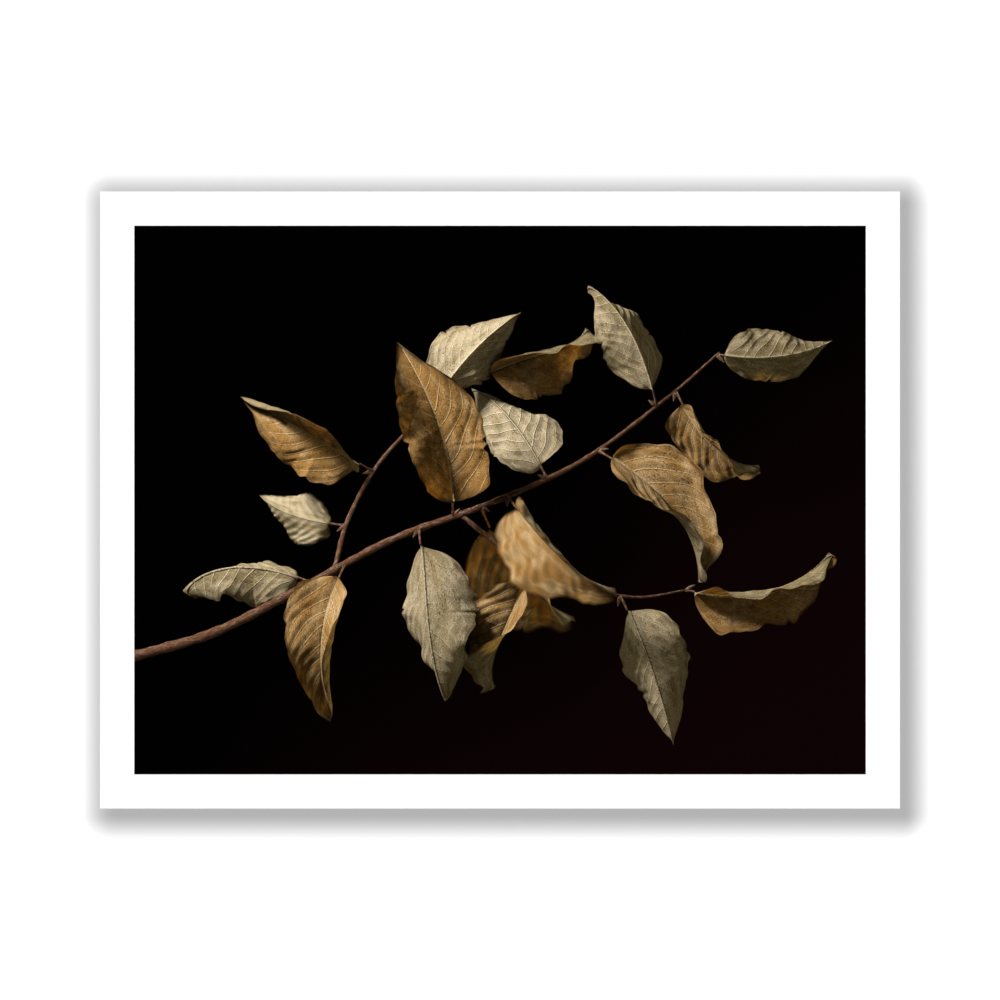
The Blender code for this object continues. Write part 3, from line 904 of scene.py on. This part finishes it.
back_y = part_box("board_back_skin")[1].y
top_rail_low, top_rail_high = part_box("rail_top")
bottom_rail_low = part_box("rail_bottom")[0]
gap_place = (0, back_y + GAP_CARD_CLEAR, middle.z)
gap_card = stage_plane("gap_card", (board_width, board_height), gap_place, UPRIGHT, dark_card)
bpy.ops.mesh.primitive_cube_add(size=1.0, location=(0, (back_y + top_rail_high.y) / 2, middle.z))
gap_block = bpy.context.object
gap_block.name = "gap_block"
gap_block.scale = (
    top_rail_high.x - top_rail_low.x + 2 * GAP_CARD_CLEAR,
    top_rail_high.y - back_y + 2 * GAP_CARD_CLEAR,
    top_rail_high.z - bottom_rail_low.z + 2 * GAP_CARD_CLEAR,
)
gap_block.data.materials.append(dark_card)
half_x = board_width / 2 + TENT_MARGIN
half_z = board_height / 2 + TENT_MARGIN
corners = [(-half_x, -half_z), (half_x, -half_z), (half_x, half_z), (-half_x, half_z)]
tent_mesh = bpy.data.meshes.new("dark_tent")
tent_points = [(x, y, middle.z + z) for y in (WALL_Y, WALL_Y - TENT_DEPTH) for x, z in corners]
tent_sides = [(k, (k + 1) % 4, (k + 1) % 4 + 4, k + 4) for k in range(4)]
tent_mesh.from_pydata(tent_points, [], [*tent_sides, (4, 5, 6, 7)])
tent_mesh.materials.append(dark_card)
tent = bpy.data.objects.new("dark_tent", tent_mesh)
bpy.context.scene.collection.objects.link(tent)
for blocker in (gap_card, gap_block, tent):
    blocker.visible_camera = False
    blocker.visible_glossy = False
    blocker.visible_shadow = False
    blocker.visible_transmission = False

grey_card, shader, place = finish("grey_card", BLACK, 1.0, specular=0.0)
height = parts(place)[2]
shader.inputs["Emission Strength"].default_value = 1.0
fade = height.step(-REAR_CARD_FADE, REAR_CARD_FADE)
feed(shader, Emission_Color=fade.mix(REAR_CARD_LOW, REAR_CARD_HIGH))
rear_card = stage_plane("rear_card", REAR_CARD_SIZE, (0, REAR_CARD_Y, middle.z), UPRIGHT, grey_card)
rear_card.visible_camera = False
rear_card.visible_diffuse = False
rear_card.visible_shadow = False

core_low, core_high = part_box("board_core")
rim_size = (board_width + 2 * SHADE_RIM, board_height + 2 * SHADE_RIM)
rim_place = (0, (core_low.y + core_high.y) / 2, middle.z)
rim_card = stage_plane("rim_card", rim_size, rim_place, UPRIGHT, dark_card)
rim_card.visible_camera = False
rim_card.visible_glossy = False
rim_card.visible_transmission = False


def soft_lamp(name, location, size, power):
    """A round lamp that faces the middle of the print, out of the camera's sight."""
    made = bpy.data.lights.new(name, "AREA")
    made.shape = "DISK"
    made.size = size
    made.energy = power
    lamp = bpy.data.objects.new(name, made)
    bpy.context.scene.collection.objects.link(lamp)
    lamp.location = location
    lamp.rotation_euler = (middle - Vector(location)).to_track_quat("-Z", "Y").to_euler()
    lamp.visible_camera = False


key_data = bpy.data.lights.new("key_light", "SUN")
key_data.energy = KEY_STRENGTH
key_data.angle = 2 * math.atan(KEY_SOFTNESS)
key_light = bpy.data.objects.new("key_light", key_data)
bpy.context.scene.collection.objects.link(key_light)
key_light.rotation_euler = Vector((KEY_SLANT, 1.0, -KEY_SLANT)).to_track_quat("-Z", "Y").to_euler()
key_light.visible_glossy = False
for name, lamp in SOFT_LAMPS.items():
    soft_lamp(name, **lamp)

world = bpy.data.worlds.new("studio")
bpy.context.scene.world = world
world.use_nodes = True
sky = world.node_tree.nodes["Background"]
sky.inputs["Color"].default_value = (1, 1, 1, 1)
sky.inputs["Strength"].default_value = SKY_STRENGTH

camera_data = bpy.data.cameras.new("camera")
camera_data.lens = CAMERA_LENS
camera_data.sensor_width = SENSOR
camera = bpy.data.objects.new("camera", camera_data)
bpy.context.scene.collection.objects.link(camera)
seen_width = board_width / FRAME_SHARE
camera.location = (middle.x, middle.y - seen_width * CAMERA_LENS / SENSOR, middle.z)
camera.rotation_euler = UPRIGHT
camera_data.clip_end = CAMERA_REACH
bpy.context.scene.camera = camera

view = bpy.context.scene.view_settings
view.view_transform = "Standard"
view.look = "None"
view.exposure = 0.0
view.gamma = 1.0
